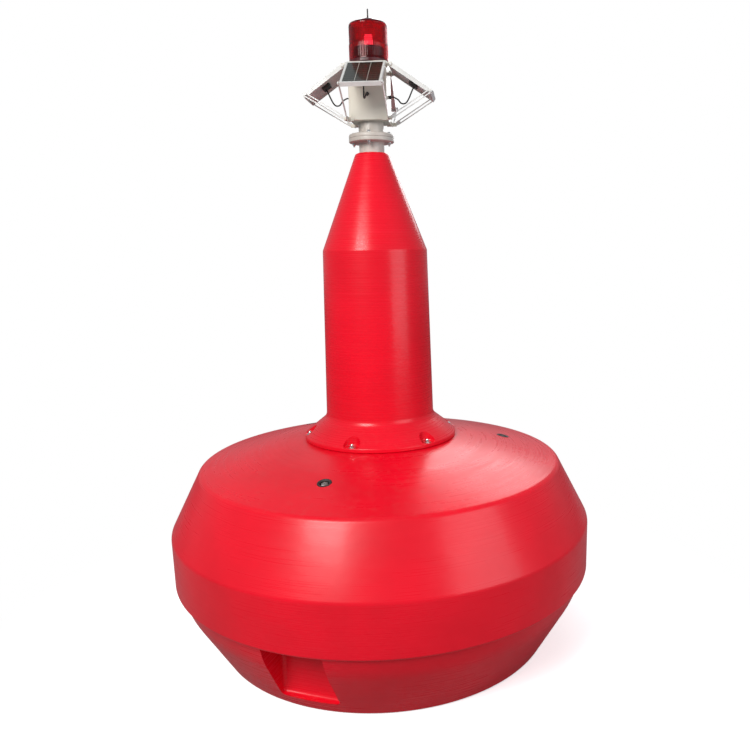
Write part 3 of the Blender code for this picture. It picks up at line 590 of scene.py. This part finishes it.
# ---- Mooring eye -------------------------------------------------------------------
# A galvanised plate with a drilled lug, up in the base's recess. The chain's shackle goes
# through the lug.
def dress(name, finish):
    """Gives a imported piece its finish."""
    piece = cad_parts[name]
    piece.data.materials.clear()
    piece.data.materials.append(finish)


dress("mooring_eye", dull_zinc)



# ---- Tower -------------------------------------------------------------------------
# One red moulding: a bolted skirt with six arched recesses, a tapered tube and a cone.
# A galvanised hexagon bolt with a washer stands on the floor of each recess.
tower_red = red_plastic("tower_red", 0.95, 0.15, 0.24, 0.0008)
SKIRT_RADIUS = tower_high.x
SKIRT_EDGE_TOP = tower_low.z + 0.0135
SKIRT_TOP = (0.1932, 0.8046)
TUBE_TOP = (0.1812, 1.3870)
CONE_TOP = (0.0560, tower_high.z)
TOWER_BORE = 0.0430            # takes the post's pipe
TOWER_BORE_DEPTH = 0.05
BOLT_RECESS_RADIUS = 0.0290
BOLT_RECESS_DISTANCE = 0.2600
SKIRT_BOLT_DISTANCE = 0.2560
tower = turned("tower_moulding", rounded((
    (0.0, tower_low.z, 0.0),
    (SKIRT_RADIUS - 0.004, tower_low.z, 0.0),
    (SKIRT_RADIUS, tower_low.z + 0.001, 0.003),
    (SKIRT_RADIUS, SKIRT_EDGE_TOP, 0.005),
    (*SKIRT_TOP, 0.034),
    (*TUBE_TOP, 0.010),
    (*CONE_TOP, 0.012),
    (TOWER_BORE, CONE_TOP[1], 0.0),
    (TOWER_BORE, CONE_TOP[1] - TOWER_BORE_DEPTH, 0.0),
    (0.0, CONE_TOP[1] - TOWER_BORE_DEPTH, 0.0),
), 10), 180, tower_red)
recess_cutters = []
for k in range(6):
    cutter = turned("recess", rounded((
        (0.0, SKIRT_EDGE_TOP, 0.0),
        (BOLT_RECESS_RADIUS, SKIRT_EDGE_TOP, 0.006),
        (BOLT_RECESS_RADIUS, SKIRT_TOP[1] + 0.02, 0.0),
        (0.0, SKIRT_TOP[1] + 0.02, 0.0),
    )), 48, None)
    cutter.location = outward(FEATURE_AZIMUTH + 60 * k) * BOLT_RECESS_DISTANCE
    recess_cutters.append(cutter)
bpy.context.view_layer.update()
cut_away(tower, recess_cutters)
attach(tower, "root")
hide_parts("tower")

bright_steel = plain_finish("bright_steel", (0.80, 0.80, 0.80), (0.55, 0.54, 0.52), 0.26, 0.10,
                            metallic=1.0, grain=160)
WASHER_THICK = 0.0018
THREAD_PITCH = 0.0012


def hex_bolt(name, where, turn, across, head, washer, stub, material):
    """Bolt head on a washer, with a threaded stub through it; +Z is the way it points."""
    work = bmesh.new()
    turned_rings(work, ((0.0, 0.0), (washer, 0.0), (washer, WASHER_THICK), (0.0, WASHER_THICK)), 28)
    radius = across / math.sqrt(3)
    top = WASHER_THICK + head
    turned_rings(work, ((0.0, WASHER_THICK), (radius, WASHER_THICK), (radius, WASHER_THICK + head * 0.85),
                        (across / 2, top), (0.0, top)), 6)
    if stub > 0.0:
        thread = [(0.0, top - 0.001)]
        turns = max(2, int(stub / THREAD_PITCH))
        for i in range(turns):
            z = top - 0.001 + (stub + 0.001) * i / turns
            thread.append((across * 0.30, z))
            thread.append((across * 0.27, z + (stub + 0.001) * 0.5 / turns))
        thread.append((across * 0.26, top + stub))
        thread.append((0.0, top + stub))
        turned_rings(work, thread, 18)
    return placed(finish_mesh(work, name, material, 25.0), where, turn)


for k in range(6):
    azimuth = FEATURE_AZIMUTH + 60 * k
    where = outward(azimuth) * SKIRT_BOLT_DISTANCE + Vector((0, 0, SKIRT_EDGE_TOP))
    bolt = hex_bolt("skirt_bolt_%d" % (k + 1), where, (0.0, 0.0, 0.4 * k),
                    0.0150, 0.0070, 0.0120, 0.0040, bright_steel)
    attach(bolt, "root")

# ---- Post and neck -----------------------------------------------------------------
# Two short steel pipes with welded flanges, coated off-white, bolted flange to flange.
# Four bolts go through, their heads on top and their nuts underneath.
ivory_coat = plain_finish("ivory_coat", (0.70, 0.67, 0.58), (0.64, 0.60, 0.50), 0.34, 0.06, grain=14,
                          bump=0.0002, coat=0.2)
pipe_coat = plain_finish("pipe_coat", (0.66, 0.62, 0.57), (0.52, 0.47, 0.42), 0.40, 0.08, grain=30,
                         bump=0.0003, coat=0.15)
post_low, post_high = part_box("post")
neck_low, neck_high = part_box("lantern_neck")
FLANGE_RADIUS = post_high.x
FLANGE_THICK = 0.0130
PIPE_RADIUS = 0.0425
FLANGE_BOLT_DISTANCE = 0.0600
flange_bottom = post_high.z - FLANGE_THICK
flange_joint = post_high.z
flange_top = neck_low.z + FLANGE_THICK
post = turned("post_pipe", rounded((
    (0.0, post_low.z, 0.0),
    (PIPE_RADIUS, post_low.z, 0.0),
    (PIPE_RADIUS, flange_bottom, 0.006),
    (FLANGE_RADIUS, flange_bottom, 0.003),
    (FLANGE_RADIUS, flange_joint, 0.0012),
    (0.0, flange_joint, 0.0),
)), 96, pipe_coat)
neck = turned("neck_pipe", rounded((
    (0.0, neck_low.z, 0.0),
    (FLANGE_RADIUS, neck_low.z, 0.0012),
    (FLANGE_RADIUS, flange_top, 0.006),
    (PIPE_RADIUS, flange_top, 0.006),
    (PIPE_RADIUS, neck_high.z, 0.0),
    (0.0, neck_high.z, 0.0),
)), 96, pipe_coat)
for piece, name in ((post, "post"), (neck, "lantern_neck")):
    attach(piece, "root")
    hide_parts(name)
for k in range(4):
    at = outward(90 * k) * FLANGE_BOLT_DISTANCE
    top_bolt = hex_bolt("flange_bolt_%d" % (k + 1), at + Vector((0, 0, flange_top)),
                        (0.0, 0.0, 0.3), 0.0100, 0.0055, 0.0085, 0.0, bright_steel)
    nut = hex_bolt("flange_nut_%d" % (k + 1), at + Vector((0, 0, flange_bottom)),
                   (math.pi, 0.0, 0.3), 0.0100, 0.0055, 0.0085, 0.0050, bright_steel)
    for piece in (top_bolt, nut):
        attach(piece, "root")

# ---- Lantern box -------------------------------------------------------------------
# Folded sheet metal with an ivory coat. The ears that hold the panels and struts are
# welded to its corners.
dress("battery_box", ivory_coat)

# ---- Lens --------------------------------------------------------------------------
# A clear red drum moulded in rings above and in flutes below, screwed to a dark base, with a pale
# lamp column inside that glows with painted light though the lamp is not lit, and a black spike on the
# crown.
lens_low, lens_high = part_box("lens")
LENS_RADIUS = lens_high.x
LENS_STEPS = 240
LENS_WALL = 0.0030
LENS_FLUTES = 60
LENS_FLUTE_DEPTH = 0.0008
LENS_RINGS = 11
LENS_STEP = lens_low.z + 0.0520       # flutes below, rings above
LENS_SHOULDER = lens_low.z + 0.1140
LENS_DRUM = LENS_RADIUS - 0.0020      # the drum's radius above the step


def red_lens_material():
    """Clear red plastic."""
    made, tree, out = new_material("red_lens")
    shader = tree.nodes.new("ShaderNodeBsdfPrincipled")
    shader.inputs["Base Color"].default_value = (0.36, 0.012, 0.022, 1.0)
    shader.inputs["Transmission Weight"].default_value = 0.92
    shader.inputs["IOR"].default_value = 1.30
    place = tree.nodes.new("ShaderNodeTexCoord").outputs["Object"]
    tree.links.new(remap(tree, noise_node(tree, place, 40.0, 4.0), 0.35, 0.7, 0.06, 0.16),
                   shader.inputs["Roughness"])
    tree.links.new(shader.outputs[0], out.inputs["Surface"])
    return made


red_lens = red_lens_material()
dark_red = plain_finish("dark_red_plastic", (0.045, 0.003, 0.006), (0.09, 0.006, 0.01), 0.35, 0.1, grain=60)
lamp_painted_glow, tree, out = new_material("lamp_painted_glow")
painted_glow_shader = tree.nodes.new("ShaderNodeBsdfPrincipled")
dies = tree.nodes.new("ShaderNodeTexVoronoi")
dies.inputs["Scale"].default_value = 210.0
tree.links.new(tree.nodes.new("ShaderNodeTexCoord").outputs["Object"], dies.inputs["Vector"])
tree.links.new(blend_colour(tree, remap(tree, dies.outputs["Distance"], 0.2, 0.5, 0.0, 1.0),
                            (1.0, 0.90, 0.90), (0.45, 0.20, 0.20)), painted_glow_shader.inputs["Base Color"])
painted_glow_shader.inputs["Roughness"].default_value = 0.3
# Painted glow: the lamp is not lit, and this emission stands in for the light that the pale dies reflect.
painted_glow_shader.inputs["Emission Color"].default_value = (1.0, 0.9, 0.9, 1.0)
painted_glow_shader.inputs["Emission Strength"].default_value = 5.0
tree.links.new(painted_glow_shader.outputs[0], out.inputs["Surface"])


def lens_drum():
    """The drum: flutes up to the step, then stacked rings, a shoulder and a low cone."""
    steps = LENS_STEPS
    work = bmesh.new()
    rows = [(LENS_RADIUS - 0.0002, lens_low.z, 0.0), (LENS_RADIUS - 0.0002, lens_low.z + 0.0040, 0.0)]
    flute_height = LENS_STEP - lens_low.z - 0.0070
    for i in range(13):
        rows.append((LENS_RADIUS - 0.0004, lens_low.z + 0.0055 + flute_height * i / 12, 1.0))
    rings_height = LENS_SHOULDER - 0.006 - LENS_STEP
    pitch = rings_height / LENS_RINGS
    for i in range(LENS_RINGS):
        z = LENS_STEP + rings_height * i / LENS_RINGS
        rows.append((LENS_RADIUS - 0.0026, z + 0.0004, 0.0))
        rows.append((LENS_RADIUS - 0.0014, z + pitch * 0.45, 0.0))
        rows.append((LENS_RADIUS - 0.0022, z + pitch - 0.0004, 0.0))
    crown = rounded((
        (LENS_DRUM, LENS_SHOULDER - 0.006, 0.0),
        (LENS_DRUM, LENS_SHOULDER, 0.007),
        (0.0120, lens_high.z - 0.001, 0.004),
        (0.0100, lens_high.z, 0.0),
    ))
    rows += [(r, z, 0.0) for r, z in crown]
    rings = []
    for r, z, fluted in rows:
        ring = []
        for i in range(steps):
            a = 2 * math.pi * i / steps
            deep = LENS_FLUTE_DEPTH * fluted * (0.5 - 0.5 * math.cos(a * LENS_FLUTES))
            ring.append(work.verts.new(((r - deep) * math.cos(a), (r - deep) * math.sin(a), z)))
        rings.append(ring)
    top = work.verts.new((0, 0, lens_high.z))
    inner = rounded((
        (LENS_DRUM - LENS_WALL, lens_low.z, 0.0),
        (LENS_DRUM - LENS_WALL, LENS_SHOULDER - LENS_WALL, 0.006),
        (0.004, lens_high.z - LENS_WALL, 0.0),
    ))
    angles = [2 * math.pi * i / steps for i in range(steps)]
    inner_rings = []
    for r, z in inner:
        inner_rings.append([work.verts.new((r * math.cos(a), r * math.sin(a), z)) for a in angles])
    inner_top = work.verts.new((0, 0, lens_high.z - LENS_WALL))
    pairs = list(zip(rings[:-1], rings[1:])) + list(zip(inner_rings[:-1], inner_rings[1:]))
    pairs.append((rings[0], inner_rings[0]))
    for lower, upper in pairs:
        for i in range(steps):
            j = (i + 1) % steps
            work.faces.new((lower[i], lower[j], upper[j], upper[i]))
    for i in range(steps):
        j = (i + 1) % steps
        work.faces.new((rings[-1][i], rings[-1][j], top))
        work.faces.new((inner_rings[-1][i], inner_rings[-1][j], inner_top))
    return finish_mesh(work, "lens_drum", red_lens, 50.0)


drum = lens_drum()
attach(drum, "root")
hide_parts("lens")
dress("lens_base", dark_red)
dress("lamp_housing", dark_red)
dress("light_source", lamp_painted_glow)
dress("bird_spike", black_rubber)


# ---- Solar panels ------------------------------------------------------------------
# Four framed panels on pins at the box's top edge, each propped by two slotted bars.


def cell_glass(name, across):
    """Dark cells in three columns and nine rows under glass; across names the panel's level axis."""
    made, tree, out = new_material(name)
    shader = tree.nodes.new("ShaderNodeBsdfPrincipled")
    box_place = tree.nodes.new("ShaderNodeTexCoord").outputs["Generated"]
    split = tree.nodes.new("ShaderNodeSeparateXYZ")
    tree.links.new(box_place, split.inputs[0])
    lines = 0.0
    for axis, count, width in ((across, 3, 0.030), ("Z", 9, 0.055)):
        phase = maths(tree, "FRACT", maths(tree, "MULTIPLY", split.outputs[axis], count))
        edge = maths(tree, "ABSOLUTE", maths(tree, "SUBTRACT", phase, 0.5))
        strength = 0.22 if axis == "Z" else 1.0
        line = remap(tree, edge, 0.5 - width, 0.5 - width * 0.4, 0.0, strength)
        lines = maths(tree, "MAXIMUM", line, lines)
    cloud = noise_node(tree, box_place, 7.0, 4.0)
    cells = blend_colour(tree, cloud, (0.010, 0.012, 0.008), (0.028, 0.028, 0.018))
    tree.links.new(blend_colour(tree, lines, cells, (0.42, 0.42, 0.38)), shader.inputs["Base Color"])
    rough = remap(tree, noise_node(tree, box_place, 20.0), 0.3, 0.7, 0.16, 0.26)
    tree.links.new(rough, shader.inputs["Roughness"])
    shader.inputs["Coat Weight"].default_value = 0.5
    tree.links.new(shader.outputs[0], out.inputs["Surface"])
    return made


glass_x = cell_glass("solar_glass_x", "X")
glass_y = cell_glass("solar_glass_y", "Y")
white_coat = plain_finish("white_coat", (0.74, 0.74, 0.72), (0.62, 0.62, 0.60), 0.32, 0.08,
                          grain=40, coat=0.2)
for side in ("front", "right", "back", "left"):
    dress("panel_frame_" + side, white_coat)
    dress("panel_glass_" + side, glass_x if side in ("front", "back") else glass_y)
    dress("junction_box_" + side, black_rubber)
    dress("cable_gland_" + side, black_rubber)
    dress("strut_" + side + "_a", white_coat)
    dress("strut_" + side + "_b", white_coat)

# ---- Panel cables ------------------------------------------------------------------
# A black flexible lead from each panel's junction box, hanging in a loop to its gland.
cable_black = plain_finish("cable_black", (0.012, 0.012, 0.012), (0.03, 0.03, 0.03), 0.5, 0.1,
                           grain=200)
for azimuth, side in ((0, "front"), (90, "right"), (180, "back"), (270, "left")):
    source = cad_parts["panel_cable_" + side]
    lead_mesh = source.data.copy()
    lead_mesh.materials.clear()
    lead_mesh.materials.append(cable_black)
    lead_mesh.shade_smooth()
    lead = bpy.data.objects.new("lead_" + side, lead_mesh)
    scene.collection.objects.link(lead)
    lead.matrix_world = source.matrix_world.copy()
    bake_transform(lead)
    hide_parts("panel_cable_" + side)
